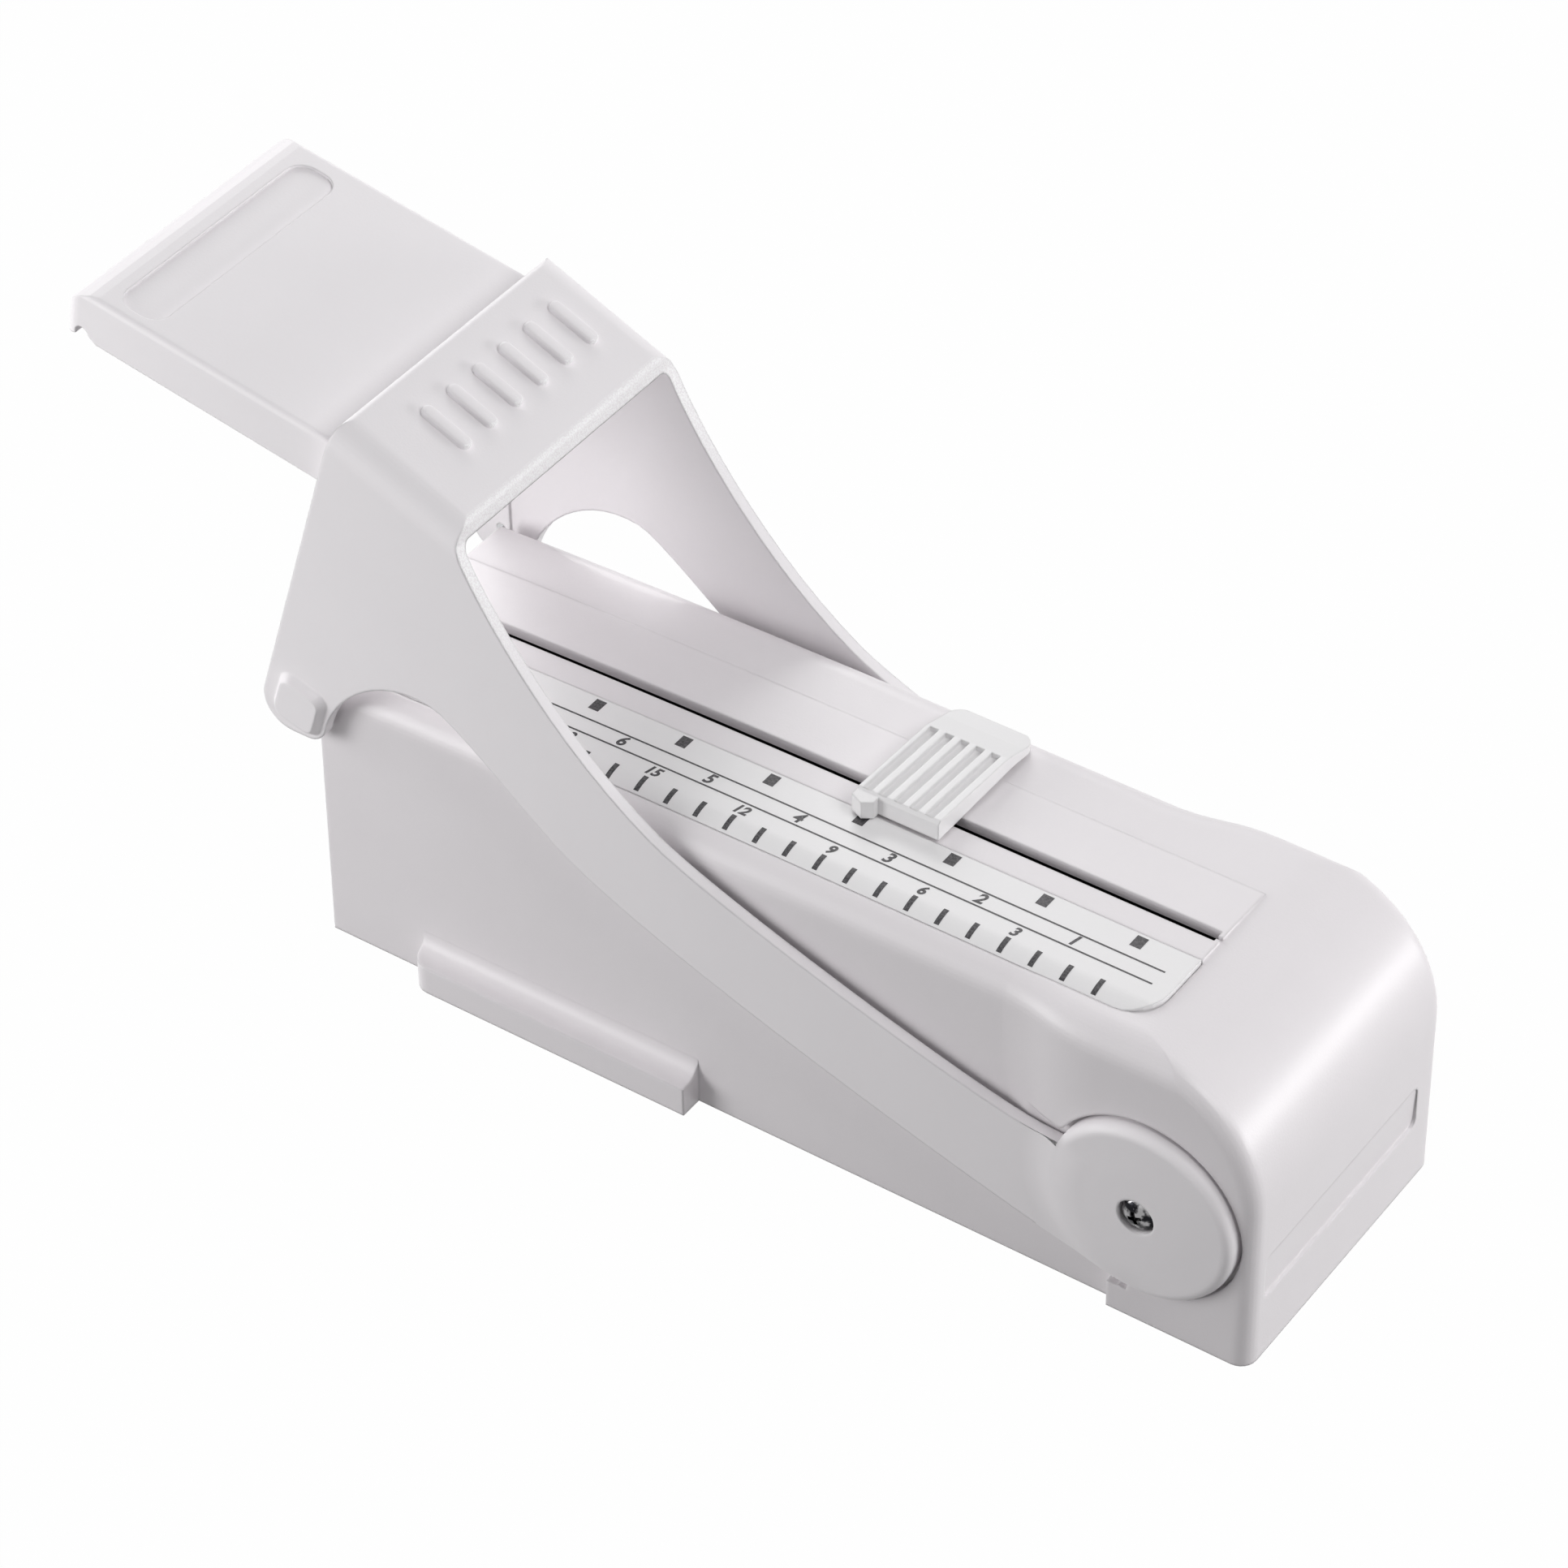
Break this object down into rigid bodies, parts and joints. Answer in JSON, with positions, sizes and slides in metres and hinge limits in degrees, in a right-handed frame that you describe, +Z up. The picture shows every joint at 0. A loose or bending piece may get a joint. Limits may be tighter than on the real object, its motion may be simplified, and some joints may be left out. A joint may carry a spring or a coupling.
{
  "type": "lever butter slicer",
  "caption": "Butter slicer: a long housing with a sliding pusher and a measuring scale, and a press lever that carries a cutting wire and a hinged lid past the open end.",
  "frame": {"origin": "middle of the housing's length, on the centre plane of the slot, in the plane of the table that it stands on", "axes": "+X along the housing from the open end to the rear wall, +Y away from the side with the scale, +Z up"},
  "size_m": [0.2005, 0.0558, 0.1008],
  "materials": {
    "shell_white": "satin moulded",
    "tray_white": "fine matt",
    "scale_white": "satin with black printing",
    "screw_chrome": "dark and shiny",
    "slider_white": "satin moulded",
    "lever_white": "satin with a fine grain",
    "wire_steel": "drawn wire",
    "lid_white": "satin with a fine grain"
  },
  "bodies": {
    "base": {"housing": "shell_white", "floor_tray": "tray_white", "scale_plate": "scale_white", "pivot_screws": "screw_chrome"},
    "slider": {"slider_thumb": "slider_white", "pusher": "slider_white"},
    "lever": {"press_lever": "lever_white", "wire_ferrules": "wire_steel", "cutting_wire": "wire_steel"},
    "cover": {"lid": "lid_white"}
  },
  "joints": [
    {"name": "lever_press", "type": "hinge", "parent": "base", "child": "lever", "pos_m": [0.0625, 0, 0.022], "axis": [0, -1, 0], "range_deg": [0, 15.1]},
    {"name": "slider_travel", "type": "slide", "parent": "base", "child": "slider", "axis": [-1, 0, 0], "range_m": [-0.047, 0.0754]},
    {"name": "lid_fold", "type": "hinge", "parent": "lever", "child": "cover", "pos_m": [-0.0712, 0, 0.0892], "axis": [0, -1, 0], "range_deg": [0, 82.8]}
  ]
}
